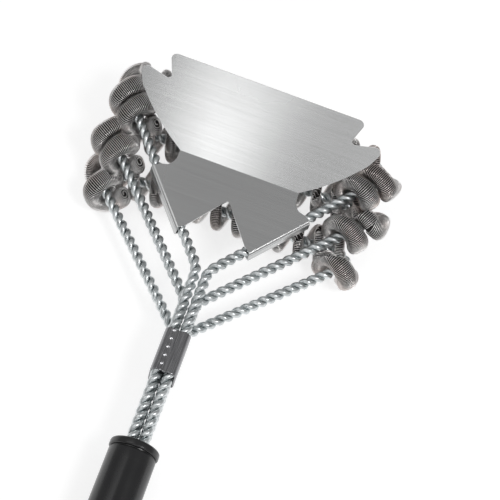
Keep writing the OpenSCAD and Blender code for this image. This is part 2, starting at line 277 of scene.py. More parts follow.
class Centreline:
    """The bent rope of one frame: two stems, two legs and a row, by length from one rope end."""

    def __init__(self, f):
        """Lengths of the rope's parts up to the middle of its row, and where the coil starts and ends."""
        a = SPREAD[f]
        self.f = f
        self.branch_trim = BRANCH_R * math.tan(a / 2)
        self.bend_trim = CORNER_R * math.tan((math.pi / 2 + a) / 2)
        self.stem = ROPE_TAIL + BRANCH_Y[f] - self.branch_trim
        self.branch = BRANCH_R * a
        leg = (ROW_Y[f] - BRANCH_Y[f]) / math.cos(a)
        self.leg = leg - self.branch_trim - self.bend_trim
        self.corner = CORNER_R * (math.pi / 2 + a)
        self.row_half = STEM_X + (ROW_Y[f] - BRANCH_Y[f]) * math.tan(a) - self.bend_trim
        self.bend_start = self.stem + self.branch + self.leg
        self.half = self.bend_start + self.corner + self.row_half
        self.crossing = self.bend_start - COIL_LEAD[f]
        self.wound_half = self.half - (1 - CORNER_RATE) * self.corner
        span = 2 * (self.wound_half - self.crossing)
        self.turn = span / round(span / COIL_PITCH)
        self.coil_start = self.crossing - RIGHT_END * self.turn
        self.coil_finish = 2 * self.half - self.crossing + LEFT_END * self.turn

    def turn_angle(self, s):
        """Angle of the coil round the rope: straight up at its first crossing, slower round corners."""
        q = np.minimum(s, 2 * self.half - s)
        w = q - (1 - CORNER_RATE) * np.clip(q - self.bend_start, 0, self.corner)
        w = np.where(s < self.half, w, 2 * self.wound_half - w)
        return 2 * math.pi * (w - self.crossing) / self.turn + math.pi / 2

    def height(self, y):
        """Height of the rope's centre where the frame is at y."""
        share = np.clip((y - BRANCH_Y[self.f]) / (ROW_Y[self.f] - BRANCH_Y[self.f]), 0, 1)
        return STEM_Z[self.f] + (ROW_Z[self.f] - STEM_Z[self.f]) * share

    def at(self, s):
        """Centre, forward and inward directions at lengths s."""
        a = SPREAD[self.f]
        left = s > self.half
        q = np.where(left, 2 * self.half - s, s)
        s1 = q - self.stem
        s2 = s1 - self.branch
        s3 = s2 - self.leg
        s4 = s3 - self.corner
        b = np.clip(s1 / BRANCH_R, 0, a)
        along = np.clip(s2, 0, self.leg)
        h = a - np.clip(s3 / CORNER_R, 0, math.pi / 2 + a)
        x = STEM_X + BRANCH_R * (1 - np.cos(b)) + along * math.sin(a)
        y = np.minimum(q, self.stem) - ROPE_TAIL + BRANCH_R * np.sin(b) + along * math.cos(a)
        x = x + CORNER_R * (np.cos(h) - math.cos(a)) - np.clip(s4, 0, None)
        y = y + CORNER_R * (math.sin(a) - np.sin(h))
        heading = np.where(s3 > 0, h, b)
        forward = np.column_stack([np.sin(heading), np.cos(heading), np.zeros_like(q)])
        forward[left, 1] *= -1
        x = np.where(left, -x, x)
        centre = np.column_stack([x, y, self.height(y)])
        inward = np.column_stack([-forward[:, 1], forward[:, 0], np.zeros_like(q)])
        return centre, forward, inward

    def leg_gap(self, x, y):
        """Distance, seen from above, from the nearer straight leg."""
        corner_x = self.row_half + self.bend_trim
        a = SPREAD[self.f]
        return np.abs((np.abs(x) - corner_x) * math.cos(a) - (y - ROW_Y[self.f]) * math.sin(a))


UP = np.array([0.0, 0.0, 1.0])
lines = [Centreline(f) for f in range(3)]

# ------------------------------------------------------------------ materials


def shader(name, **values):
    """A new material and its Principled shader, with plain values on its sockets."""
    material = bpy.data.materials.new(name)
    material.use_nodes = True
    tree = material.node_tree
    bsdf = tree.nodes["Principled BSDF"]
    for socket, value in values.items():
        bsdf.inputs[socket.replace("_", " ")].default_value = value
    return material, tree, bsdf


def noise(tree, scale, stretch=(1, 1, 1), detail=3.0, turn=(0, 0, 0)):
    """Noise in object space, with separate scales along x, y and z."""
    place = tree.nodes.new("ShaderNodeTexCoord")
    mapping = tree.nodes.new("ShaderNodeMapping")
    mapping.inputs["Scale"].default_value = stretch
    mapping.inputs["Rotation"].default_value = turn
    texture = tree.nodes.new("ShaderNodeTexNoise")
    texture.inputs["Scale"].default_value = scale
    texture.inputs["Detail"].default_value = detail
    tree.links.new(place.outputs["Object"], mapping.inputs["Vector"])
    tree.links.new(mapping.outputs["Vector"], texture.inputs["Vector"])
    return texture.outputs["Fac"]


def ramp(tree, factor, low, high, start=0.3, end=0.7):
    """A colour ramp between two greys or colours."""
    node = tree.nodes.new("ShaderNodeValToRGB")
    for element, position, value in zip(node.color_ramp.elements, (start, end), (low, high)):
        element.position = position
        element.color = (*value, 1) if isinstance(value, tuple) else (value, value, value, 1)
    tree.links.new(factor, node.inputs["Fac"])
    return node.outputs["Color"]


def multiply(tree, a, b):
    """One colour times another."""
    node = tree.nodes.new("ShaderNodeMix")
    node.data_type = "RGBA"
    node.blend_type = "MULTIPLY"
    node.inputs["Factor"].default_value = 1.0
    tree.links.new(a, node.inputs["A"])
    tree.links.new(b, node.inputs["B"])
    return node.outputs["Result"]


def bump(tree, bsdf, height, strength, distance=0.0002):
    """Bumps the shader's normal by a height."""
    node = tree.nodes.new("ShaderNodeBump")
    node.inputs["Strength"].default_value = strength
    node.inputs["Distance"].default_value = distance
    tree.links.new(height, node.inputs["Height"])
    tree.links.new(node.outputs["Normal"], bsdf.inputs["Normal"])


def gloss_black():
    """Moulded satin-gloss plastic with a faint orange peel."""
    material, tree, bsdf = shader("gloss_black", IOR=1.5, Coat_Weight=0.15, Coat_Roughness=0.12)
    smudge = noise(tree, 45, detail=5)
    tree.links.new(ramp(tree, smudge, 0.24, 0.34), bsdf.inputs["Roughness"])
    tree.links.new(ramp(tree, smudge, (0.006, 0.006, 0.007), (0.011, 0.011, 0.012)),
                   bsdf.inputs["Base Color"])
    bump(tree, bsdf, noise(tree, 900, detail=2), 0.12, 0.00005)
    return material


def grip_black():
    """Soft-touch rubber with a fine moulded grain."""
    material, tree, bsdf = shader("grip_black", IOR=1.46, Sheen_Weight=0.12, Sheen_Roughness=0.5)
    wear = noise(tree, 30, detail=6)
    tree.links.new(ramp(tree, wear, 0.46, 0.6), bsdf.inputs["Roughness"])
    tree.links.new(ramp(tree, wear, (0.010, 0.010, 0.011), (0.017, 0.017, 0.018)),
                   bsdf.inputs["Base Color"])
    bump(tree, bsdf, noise(tree, 2200, detail=2), 0.35, 0.00008)
    return material


def core_plastic():
    """Plain glass-filled plastic inside the handle."""
    material, tree, bsdf = shader("core_plastic", IOR=1.5)
    fibre = noise(tree, 400, (1, 0.2, 1), detail=4)
    tree.links.new(ramp(tree, fibre, 0.5, 0.66), bsdf.inputs["Roughness"])
    tree.links.new(ramp(tree, fibre, (0.012, 0.012, 0.013), (0.03, 0.03, 0.032)),
                   bsdf.inputs["Base Color"])
    bump(tree, bsdf, fibre, 0.2, 0.0001)
    return material


def rope_steel():
    """Bright galvanised wire, cool grey, with drawn streaks and soft spangle."""
    material, tree, bsdf = shader("rope_steel", Metallic=1.0)
    spangle = noise(tree, 420, detail=4)
    broad = noise(tree, 60, detail=2)
    tint = ramp(tree, spangle, (0.58, 0.62, 0.63), (0.80, 0.825, 0.83))
    shade = ramp(tree, broad, 0.86, 1.0)
    tree.links.new(multiply(tree, tint, shade), bsdf.inputs["Base Color"])
    tree.links.new(ramp(tree, spangle, 0.26, 0.40), bsdf.inputs["Roughness"])
    bump(tree, bsdf, noise(tree, 1500, detail=3), 0.12, 0.00006)
    return material


def coil_steel():
    """Fine stainless wire, warm grey, with a few heat-brown turns."""
    material, tree, bsdf = shader("coil_steel", Metallic=1.0)
    tint = ramp(tree, noise(tree, 55, detail=2), (0.82, 0.75, 0.72), (0.90, 0.88, 0.87), 0.36, 0.52)
    fine = ramp(tree, noise(tree, 900, detail=2), 0.8, 1.0)
    tree.links.new(multiply(tree, tint, fine), bsdf.inputs["Base Color"])
    tree.links.new(ramp(tree, noise(tree, 300, detail=3), 0.28, 0.42), bsdf.inputs["Roughness"])
    return material


def coil_painted_shade():
    """Painted shade for the coil's inside: a dark, hatched, dull layer standing for the crossing wires deeper in
    the coil as they lie in shade.
    """
    material, tree, bsdf = shader("coil_painted_shade", Metallic=0.5, Specular_IOR_Level=0.3)
    shade_hatch = noise(tree, 1100, detail=3)
    # Painted shade: a near-black hatched base colour for the coil's shaded inside, far darker than the wire's own
    # steel.
    tree.links.new(ramp(tree, shade_hatch, (0.006, 0.005, 0.005), (0.05, 0.046, 0.044), 0.42, 0.66),
                   bsdf.inputs["Base Color"])
    tree.links.new(ramp(tree, shade_hatch, 0.7, 0.5), bsdf.inputs["Roughness"])
    bump(tree, bsdf, shade_hatch, 0.8, 0.0004)
    return material


def scraper_steel():
    """Stainless sheet brushed across the brush, along x."""
    material, tree, bsdf = shader("scraper_steel", Metallic=1.0, Anisotropic=0.8,
                                  Anisotropic_Rotation=0.25)
    lines_fine = noise(tree, 1.0, (18, 5200, 5200), detail=4)
    lines_broad = noise(tree, 1.0, (9, 900, 900), detail=3)
    haze = noise(tree, 16, detail=3)
    tint = ramp(tree, lines_fine, (0.60, 0.605, 0.605), (0.67, 0.675, 0.675))
    shade = ramp(tree, lines_broad, 0.95, 1.0)
    tree.links.new(multiply(tree, tint, shade), bsdf.inputs["Base Color"])
    tree.links.new(ramp(tree, haze, 0.24, 0.29), bsdf.inputs["Roughness"])
    bump(tree, bsdf, lines_fine, 0.05, 0.00003)
    tangent = tree.nodes.new("ShaderNodeTangent")
    tangent.direction_type = "UV_MAP"
    tree.links.new(tangent.outputs["Tangent"], bsdf.inputs["Tangent"])
    return material


def ferrule_steel():
    """Dark polished steel, streaked along its length by the crimping die."""
    material, tree, bsdf = shader("ferrule_steel", Metallic=1.0)
    streaks = noise(tree, 1.0, (2600, 40, 2600), detail=4)
    tree.links.new(ramp(tree, streaks, (0.17, 0.17, 0.18), (0.36, 0.36, 0.37)),
                   bsdf.inputs["Base Color"])
    tree.links.new(ramp(tree, streaks, 0.2, 0.3), bsdf.inputs["Roughness"])
    bump(tree, bsdf, streaks, 0.15, 0.00004)
    return material


def loop_wire():
    """Bright plated wire with fine drawn scratches."""
    material, tree, bsdf = shader("loop_wire", Metallic=1.0)
    scratches = noise(tree, 700, (1, 0.1, 1), detail=4)
    tree.links.new(ramp(tree, scratches, (0.66, 0.67, 0.68), (0.82, 0.83, 0.84)),
                   bsdf.inputs["Base Color"])
    tree.links.new(ramp(tree, scratches, 0.12, 0.2), bsdf.inputs["Roughness"])
    return material


# ------------------------------------------------------------------ handle


def smooth_profile(pairs, step):
    """A Catmull-Rom curve through (y, r) pairs."""
    p = np.array([pairs[0], *pairs, pairs[-1]], float)
    out = []
    for i in range(1, len(p) - 2):
        n = max(2, round((p[i + 1, 0] - p[i, 0]) / step))
        t = np.arange(n)[:, None] / n
        a, b, c, d = p[i - 1 : i + 3]
        out.append(0.5 * (2 * b + (c - a) * t + (2 * a - 5 * b + 4 * c - d) * t**2
                          + (3 * b - a - 3 * c + d) * t**3))
    return [tuple(q) for q in np.vstack(out)] + [tuple(pairs[-1])]


def build_handle(gloss, grip):
    """Front collar, front sleeve and grip; the y of a profile runs back from the handle's front."""
    collar = (
        [(1.0, PLUG_R), (0.35, PLUG_R + 0.35), (0.0, PLUG_R + 0.9), (0.0, COLLAR_R - 1.5)]
        + arc_points((1.3, COLLAR_R - 1.3), 1.3, 180, 90, 8)[1:]
        + arc_points((COLLAR_LEN - 1.3, COLLAR_R - 0.9), 0.9, 90, 0, 8)
        + [(COLLAR_LEN - 0.35, COLLAR_R - 1.35), (COLLAR_LEN, COLLAR_R - 1.45), (COLLAR_LEN, PLUG_R)]
    )
    sleeve = (
        [(COLLAR_LEN, PLUG_R), (COLLAR_LEN, SLEEVE_R - 0.95), (COLLAR_LEN + 0.25, SLEEVE_R - 0.8)]
        + arc_points((COLLAR_LEN + 0.9, SLEEVE_R - 0.55), 0.55, 180, 90, 6)
        + [(COLLAR_LEN + 6, SLEEVE_R + 0.01), (40, SLEEVE_R + 0.1), (SLEEVE_LEN - 6, SLEEVE_R + 0.19)]
        + arc_points((SLEEVE_LEN - 1.6, SLEEVE_R - 0.6), 0.8, 90, 0, 6)
        + [(SLEEVE_LEN - 0.6, SLEEVE_R - 1.2), (SLEEVE_LEN, SLEEVE_R - 1.3), (SLEEVE_LEN, CORE_R)]
        + [(PLUG_LEN, CORE_R), (PLUG_LEN, PLUG_R)]
    )
    tip = arc_points((HANDLE_LEN - GRIP_TIP_R, 11.8 - GRIP_TIP_R), GRIP_TIP_R, 90, 0, 16)
    outside = (
        [(SLEEVE_LEN, CORE_R), (SLEEVE_LEN, SLEEVE_R - 1.3), (SLEEVE_LEN + 0.3, SLEEVE_R - 0.9)]
        + arc_points((SLEEVE_LEN + 1.1, SLEEVE_R - 0.95), 0.6, 170, 90, 5)
        + smooth_profile(GRIP_PROFILE, 1.6)[:-1]
    )
    body = [(CORE_END, 0.0), (CORE_END, CORE_R)] + outside + tip + [(HANDLE_LEN, 0.0)]
    shapes = (
        ("front_collar", collar, gloss, "gloss_black"),
        ("front_sleeve", sleeve, gloss, "gloss_black"),
        ("handle_grip", body, grip, "grip_black"),
    )
    made = {}
    for node, profile, material, slot in shapes:
        points, faces = lathe([(-y, r) for y, r in profile])
        made[node] = piece("soft_" + node if node == "handle_grip" else "moulded_" + node,
                           points, faces, material, stands_for=(node,))
    cut_hang_hole(made["handle_grip"])


def cut_hang_hole(grip):
    """Cuts the flared hanging hole down through the grip's tip."""
    flare = 2.4
    lip = 9.6
    outer = [(lip + flare * math.sin(a), HOLE_R + flare * (1 - math.cos(a)))
             for a in np.radians(np.arange(0, 81, 10))]
    half = [(0.0, HOLE_R)] + outer + [(lip + flare + 4, outer[-1][1] + 9)]
    profile = [(-z, r) for z, r in half[:0:-1]] + half
    sides = 64
    turn = np.arange(sides) * 2 * math.pi / sides
    points = [(r * math.cos(a), PIVOT_Y + r * math.sin(a), z) for z, r in profile for a in turn]
    n = len(profile)
    faces = grid_faces(n, sides) + [list(range(sides - 1, -1, -1)),
                                    list(range((n - 1) * sides, n * sides))]
    mesh = bpy.data.meshes.new("hole_cutter")
    mesh.from_pydata(rest(points).tolist(), [], faces)
    cutter = bpy.data.objects.new("hole_cutter", mesh)
    bpy.context.scene.collection.objects.link(cutter)
    finish_mesh(cutter, 35)
    cut = grip.modifiers.new("hole", "BOOLEAN")
    cut.object = cutter
    cut.solver = "EXACT"
    apply_modifiers(grip)
    bpy.data.objects.remove(cutter)
    grip.data.set_sharp_from_angle(angle=math.radians(40))


# ------------------------------------------------------------------ ropes and loop


def build_ropes(material):
    """Two smooth wires twisted right-handed for each frame."""
    for f, frame_name in enumerate(FRAMES):
        line = lines[f]
        rings = round(2 * line.half / (0.7))
        s = np.linspace(0, 2 * line.half, rings)
        centre, forward, inward = line.at(s)
        for half_turn, strand in enumerate("ab"):
            a = 2 * math.pi * s / LAY + math.pi * half_turn
            out = np.cos(a)[:, None] * inward + np.sin(a)[:, None] * UP
            around = np.cos(a)[:, None] * UP - np.sin(a)[:, None] * inward
            run = unit(forward + 2 * math.pi * HELIX_R / LAY * around)
            side = np.cross(run, out)
            r = np.full(rings, STRAND_R)
            points, faces = tube(centre + HELIX_R * out, out, side, r, r, 18)
            piece(f"{frame_name}_rope_strand_{strand}", points, faces, material,
                  stands_for=(f"{frame_name}_frame_strand_{strand}",))


def build_loop(material):
    """The hanging loop: one wire bent into a U whose inturned ends sit in the handle's tip."""
    arc_y = PIVOT_Y - LOOP_REACH + LOOP_WIRE_R + LOOP_X
    bend = np.radians(np.linspace(90, 0, 9))
    half = np.vstack([
        [(x, PIVOT_Y) for x in np.linspace(LOOP_PIN_X, LOOP_X - LOOP_BEND, 4)[:-1]],
        np.column_stack([LOOP_X - LOOP_BEND + LOOP_BEND * np.cos(bend),
                         PIVOT_Y - LOOP_BEND + LOOP_BEND * np.sin(bend)]),
        [(LOOP_X, y) for y in np.linspace(PIVOT_Y - LOOP_BEND, arc_y, 8)[1:-1]],
    ])
    sweep = np.radians(np.linspace(0, -180, 49))
    arch = np.column_stack([LOOP_X * np.cos(sweep), arc_y + LOOP_X * np.sin(sweep)])
    path = np.vstack([half, arch, half[::-1] * (-1, 1)])
    centres = np.column_stack([path, np.zeros(len(path))])
    run = unit(np.gradient(centres, axis=0))
    up = np.tile(UP, (len(path), 1))
    r = np.full(len(path), LOOP_WIRE_R)
    points, faces = tube(centres, up, np.cross(run, up), r, r, 20)
    piece("bright_hanging_loop", points, faces, material, body=LOOP,
          stands_for=("hanging_loop",), crease=50)


# ------------------------------------------------------------------ coils


def wobble(x, seed):
    """Slow, repeatable unevenness between about -1 and 1."""
    rng = np.random.default_rng(seed)
    total = np.zeros_like(x)
    for wave in rng.uniform(0.05, 0.35, 5):
        total += np.sin(wave * x + rng.uniform(0, 6.3)) / 2.5
    return total


def press(points, f):
    """Presses a coil flat where a coil or a leg of the next frame lies across it."""
    x, y, z = points.T
    if f == 2:
        table = -(pivot.z / MM + (y - PIVOT_Y) * math.sin(TILT)) / math.cos(TILT)
        z = np.maximum(z, table + HOOP_WIRE_R)
    else:
        seam = (lines[f].height(y) + lines[f + 1].height(y)) / 2
        past_row = np.clip(y - ROW_Y[f + 1] - ROW_CLEAR, 0, None)
        z = np.maximum(z, seam + SEAM_GAP - SEAM_SLOPE * past_row)
    if f > 0:
        above = lines[f - 1]
        away = above.leg_gap(x, y)
        seam = (above.height(y) + lines[f].height(y)) / 2
        tail_y = above.at(np.array([above.coil_finish]))[0][0, 1] - TAIL_CLEAR
        past_rope = np.clip(away - ROPE_CLEAR, 0, None)
        past_coil = np.clip(away - LEG_COIL_CLEAR, 0, None)
        under_rope = above.height(y) - 2 * STRAND_R - SEAM_GAP + ROPE_SLOPE * past_rope
        under_coil = seam - SEAM_GAP + SEAM_SLOPE * past_coil
        z = np.minimum(z, under_rope)
        z = np.where(y > tail_y, np.minimum(z, under_coil), z)
    return np.column_stack([x, y, z])


def coil_route(f, step):
    """Centres and section directions of a frame's wound tube, at even lengths along the tube."""
    line = lines[f]
    s = np.linspace(line.coil_start, line.coil_finish, PATH_SAMPLES)
    centre, _, inward = line.at(s)
    a = line.turn_angle(s) + 0.1 * wobble(s, 10 + f)
    out = np.cos(a)[:, None] * inward + np.sin(a)[:, None] * UP
    on_leg = np.clip((np.abs(line.half - s) - line.row_half) / line.corner, 0, 1)
    radius = TURN_R + LEG_BULGE * on_leg + 0.25 * wobble(s, 20 + f)
    path = centre + radius[:, None] * out
    length = np.concatenate([[0], np.cumsum(np.linalg.norm(np.diff(path, axis=0), axis=1))])
    bent = np.clip(np.minimum(on_leg, 1 - on_leg) * 6, 0, 1)
    spread = 1 + (LEG_SPREAD - 1) * on_leg
    spread *= 1 + bent * (np.clip(1 - 0.5 * np.cos(a), 0.75, 1.4) - 1)
    even = np.arange(0, length[-1], step)
    share = np.interp(even, length, s)

    def sample(values):
        return np.column_stack([np.interp(share, s, column) for column in values.T])

    path, out = sample(path), unit(sample(out))
    run = unit(np.gradient(path, axis=0))
    across = unit(np.cross(run, out))
    up = np.cross(across, run)
    ends = np.clip(np.minimum(even, even[-1] - even) / TUBE_END_TAPER, 0, 1)
    ends = np.sqrt(np.clip(1 - (1 - ends) ** 2, 0.04, 1))
    depth = TUBE_DEPTH / 2 * (1 + 0.05 * wobble(even, 30 + f)) * ends
    width = TUBE_WIDTH / 2 * np.interp(share, s, spread) * (1 + 0.07 * wobble(even, 40 + f)) * ends
    return even, path, up, across, depth, width


def build_coil(f, wire_material, shade_material):
    """Fine wire wound in hoops round the tube's path, over an inner layer painted dark as the coil's shade."""
    steps = 20
    even, path, up, across, depth, width = coil_route(f, HOOP_PITCH / steps)
    turn = 2 * math.pi * (even / HOOP_PITCH + 0.3 * wobble(even * 2, 50 + f))
    n = HOOP_SQUARENESS
    full = (np.abs(np.cos(turn)) ** n + np.abs(np.sin(turn)) ** n) ** (-1 / n)
    reach = ((depth - HOOP_WIRE_R) * full * np.cos(turn))[:, None] * up
    reach = reach + ((width - HOOP_WIRE_R) * full * np.sin(turn))[:, None] * across
    wire = press(path + reach, f)
    along = unit(np.gradient(wire, axis=0))
    outward = reach / np.linalg.norm(reach, axis=1, keepdims=True)
    side = unit(np.cross(along, outward))
    outward = np.cross(side, along)
    r = np.full(len(wire), HOOP_WIRE_R)
    points, faces = tube(wire, outward, side, r, r, 4)
    name = FRAMES[f]
    piece(f"{name}_wound_coil", points, faces, wire_material,
          stands_for=(f"{name}_coil",), crease=180)

    # Inner layer of painted shade: a dark tube where the inside of the coil lies in shade.
    _, path, up, across, depth, width = coil_route(f, 1.0)
    points, faces = tube(path, up, across, depth * 0.8, width * 0.84, 20)
    piece(f"{name}_coil_shade_layer", press(points, f), faces, shade_material,
          crease=180)


# ------------------------------------------------------------------ ferrule


def bundle_outline(r):
    """Round two touching columns of ropes, with a softened groove between them."""
    groove = 0.9
    meet = math.acos((groove - STEM_X) / r)
    lobe = [(STEM_X + r * math.cos(b), ROPE_PITCH + r * math.sin(b))
            for b in np.linspace(0, meet, 26)]
    x, z = lobe[-1]
    slope = (STEM_X - x) / math.sqrt(r * r - (x - STEM_X) ** 2)
    valley = [(q, z - slope * (x * x - q * q) / (2 * x)) for q in np.linspace(x, 0, 7)[1:]]
    quarter = [(STEM_X + r, z) for z in np.linspace(0, ROPE_PITCH, 9)[:-1]] + lobe + valley
    top = quarter + [(-x, z) for x, z in quarter[-2::-1]]
    return np.array(top + [(x, -z) for x, z in top[-2:0:-1]])


def build_ferrule(material):
    """The crimped sleeve: dented along the left lobe, with rolled rims."""
    rim = [(0.0, 0.34), (0.04, 0.2), (0.12, 0.09), (0.24, 0.02)]
    body = [(y, 0.0) for y in np.linspace(0.4, FERRULE_LEN - 0.4, 131)]
    outside = rim + body + [(FERRULE_LEN - y, inset) for y, inset in rim[::-1]]
    inside = [(y, FERRULE_WALL) for y in np.linspace(FERRULE_LEN, 0, 9)]
    outer = bundle_outline(FERRULE_R)
    centre = np.array([-STEM_X, ROPE_PITCH])
    dent_at = centre + FERRULE_R * np.array([math.sin(0.2), math.cos(0.2)])
    dent_y = (np.arange(DENTS) + 0.5) * FERRULE_LEN / DENTS
    rings = []
    for y, inset in outside + inside:
        ring = bundle_outline(FERRULE_R - inset)
        if inset < 0.1:
            near = np.exp(-(np.linalg.norm(outer - dent_at, axis=1) / 0.95) ** 2)
            depth = 0.42 * near * np.exp(-(np.abs(dent_y - y).min() / 1.45) ** 4)
            ring = ring - depth[:, None] * unit(outer - centre)
        rings.append(np.column_stack([ring[:, 0], np.full(len(ring), FERRULE_Y + y), ring[:, 1]]))
    points = np.vstack(rings)
    faces = grid_faces(len(rings), len(outer), loop=True)
    piece("crimped_ferrule", points, faces, material, stands_for=("ferrule",))


# ------------------------------------------------------------------ scraper

FOLD_ARC = FOLD_RADIUS * BLADE_TILT
FOLD_TRIM = FOLD_RADIUS * math.tan(BLADE_TILT / 2)
LEG_SIN, LEG_COS = math.sin(SPREAD[0]), math.cos(SPREAD[0])
ROLL_LEN = (ROLL_END_Y - PLATE_TIP_Y) / LEG_COS
ROLL_SIDE = 2 * (PLATE_MID_Z - STEM_Z[0] - ROLL_BEND_R)
QUARTER = ROLL_BEND_R * math.pi / 2
ROLL_WIDTH = ROLL_FLAT + QUARTER + ROLL_SIDE + QUARTER + 2.6


def leg_x(y):
    """Across position of the upper frame's right leg."""
    return STEM_X + (y - BRANCH_Y[0]) * math.tan(SPREAD[0])


ROLL_START = np.array([leg_x(PLATE_TIP_Y), PLATE_TIP_Y])


def bent_sheet(x, v):
    """Place and upward normal of a point of the flat sheet; v is measured from the fold."""
    if v > FOLD_ARC / 2:
        d = v - FOLD_ARC / 2 + FOLD_TRIM
        return ((x, FOLD_Y + d * math.cos(BLADE_TILT), PLATE_MID_Z + d * math.sin(BLADE_TILT)),
                (0, -math.sin(BLADE_TILT), math.cos(BLADE_TILT)))
    if v > -FOLD_ARC / 2:
        b = (v + FOLD_ARC / 2) / FOLD_RADIUS
        return ((x, FOLD_Y - FOLD_TRIM + FOLD_RADIUS * math.sin(b),
                 PLATE_MID_Z + FOLD_RADIUS * (1 - math.cos(b))), (0, -math.sin(b), math.cos(b)))
    y = FOLD_Y + v + FOLD_ARC / 2 - FOLD_TRIM
    out = (x - ROLL_START[0]) * LEG_COS - (y - ROLL_START[1]) * LEG_SIN
    if out <= ROLL_FLAT or y > ROLL_END_Y + 6:
        return (x, y, PLATE_MID_Z), (0, 0, 1)
    along = (x - ROLL_START[0]) * LEG_SIN + (y - ROLL_START[1]) * LEG_COS
    e = out - ROLL_FLAT
    r = ROLL_BEND_R
    if e < QUARTER:
        b = e / r
        place, up = (ROLL_FLAT + r * math.sin(b), -r * (1 - math.cos(b))), (math.sin(b), math.cos(b))
    elif e < QUARTER + ROLL_SIDE:
        place, up = (ROLL_FLAT + r, -r - (e - QUARTER)), (1, 0)
    elif e < 2 * QUARTER + ROLL_SIDE:
        b = (e - QUARTER - ROLL_SIDE) / r
        place = (ROLL_FLAT + r * math.cos(b), -r - ROLL_SIDE - r * math.sin(b))
        up = (math.cos(b), -math.sin(b))
    else:
        place, up = (ROLL_FLAT - (e - 2 * QUARTER - ROLL_SIDE), -2 * r - ROLL_SIDE), (0, -1)
    out, drop = place
    x = ROLL_START[0] + out * LEG_COS + along * LEG_SIN
    y = ROLL_START[1] - out * LEG_SIN + along * LEG_COS
    return (x, y, PLATE_MID_Z + drop), (up[0] * LEG_COS, -up[0] * LEG_SIN, up[1])


def flat_arc(centre, radius, start, end, steps):
    """Points of an arc on the flat sheet; angles in degrees from +x."""
    return [(centre[0] + radius * math.cos(math.radians(start + (end - start) * i / steps)),
             centre[1] + radius * math.sin(math.radians(start + (end - start) * i / steps)))
            for i in range(steps + 1)]


def roll_point(out, along):
    """A point of the flat sheet beside the upper leg, as (x, v)."""
    x = ROLL_START[0] + out * LEG_COS + along * LEG_SIN
    y = ROLL_START[1] - out * LEG_SIN + along * LEG_COS
    return x, y - FOLD_Y - FOLD_ARC / 2 + FOLD_TRIM


def scraper_outline():
    """Right half of the flat sheet, from the cut-out round by the rolled edge to the blade's edge."""
    to_v = -FOLD_Y - FOLD_ARC / 2 + FOLD_TRIM
    b = -FOLD_ARC / 2 - 0.3
    blade_v = FOLD_ARC / 2 - FOLD_TRIM
    cut = [(0.0, CUTOUT_Y + to_v), (0.9, CUTOUT_Y - 0.35 + to_v), (1.9, CUTOUT_Y - 1.6 + to_v)]
    tip = [roll_point(-1.4, 0.0), roll_point(ROLL_FLAT, 0.0), roll_point(ROLL_WIDTH, 0.0)]
    roll = [roll_point(ROLL_WIDTH, ROLL_LEN), roll_point(ROLL_FLAT, ROLL_LEN),
            roll_point(-0.6, ROLL_LEN)]
    notch = flat_arc((FOLD_HALF + FOLD_NOTCH_R, b - 3.2), FOLD_NOTCH_R, 232, 180, 9)
    fold = [(FOLD_HALF, v) for v in np.linspace(b, FOLD_ARC / 2, 7)]
    side_end = np.array([EAR_HALF - 1.6, 30 + blade_v])
    side_start = np.array([FOLD_HALF, FOLD_ARC / 2])
    side = side_end - side_start
    bulge = np.array([side[1], -side[0]]) / np.linalg.norm(side)
    edge = [tuple(side_start + side * t + bulge * 8.0 * t * (1 - t)) for t in np.arange(1, 16) / 16]
    ear = flat_arc((EAR_HALF - EAR_CORNER_R, 35 + blade_v), EAR_CORNER_R, -10, 100, 10)
    hook = flat_arc((EDGE_HALF - 1.1, 37.6 + blade_v), HOOK_R, -75, -180, 10)
    r = BLADE_CORNER_R
    corner = flat_arc((EDGE_HALF - r, BLADE_LEN - r + blade_v), r, 0, 90, 8)
    end = [(0.0, BLADE_LEN + blade_v)]
    return cut + tip + roll + notch + fold + edge + ear + hook + corner + end


def crease_rows():
    """Lines across the flat sheet where it starts, follows and ends a bend."""
    rows = [[(0.0, v), (FOLD_HALF, v)] for v in np.linspace(-FOLD_ARC / 2, FOLD_ARC / 2, 6)]
    bends = np.concatenate([
        ROLL_FLAT + np.linspace(0, QUARTER, 7),
        ROLL_FLAT + QUARTER + ROLL_SIDE + np.linspace(0, QUARTER, 7),
    ])
    rows += [[roll_point(out, 0.0), roll_point(out, ROLL_LEN)] for out in bends]
    return rows


